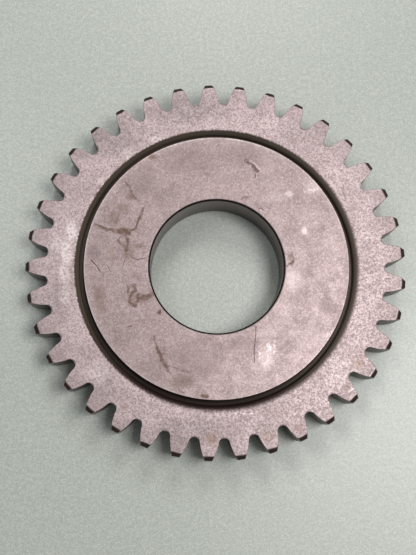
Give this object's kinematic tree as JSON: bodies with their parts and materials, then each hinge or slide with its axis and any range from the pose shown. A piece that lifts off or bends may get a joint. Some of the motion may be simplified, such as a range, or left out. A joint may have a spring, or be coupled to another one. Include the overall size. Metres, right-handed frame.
{
  "type": "spur gear",
  "caption": "Flat spur gear: a straight-toothed steel ring with chamfered tooth tips, shrunk onto a raised round hub with a smooth plain bore and a groove around it.",
  "frame": {"origin": "on the bore axis, in the plane of the lower face", "axes": "+Z along the bore axis, from the lower face to the hub's raised face; the first tooth is centred on +X"},
  "size_m": [0.1948, 0.195, 0.026],
  "materials": {
    "ring_steel": "shot-blasted steel, fine grain, dull",
    "hub_steel": "fine turned and ground steel with light oil stains and scratches"
  },
  "bodies": {
    "root": {"toothed_ring": "ring_steel", "hub": "hub_steel"}
  },
  "joints": []
}
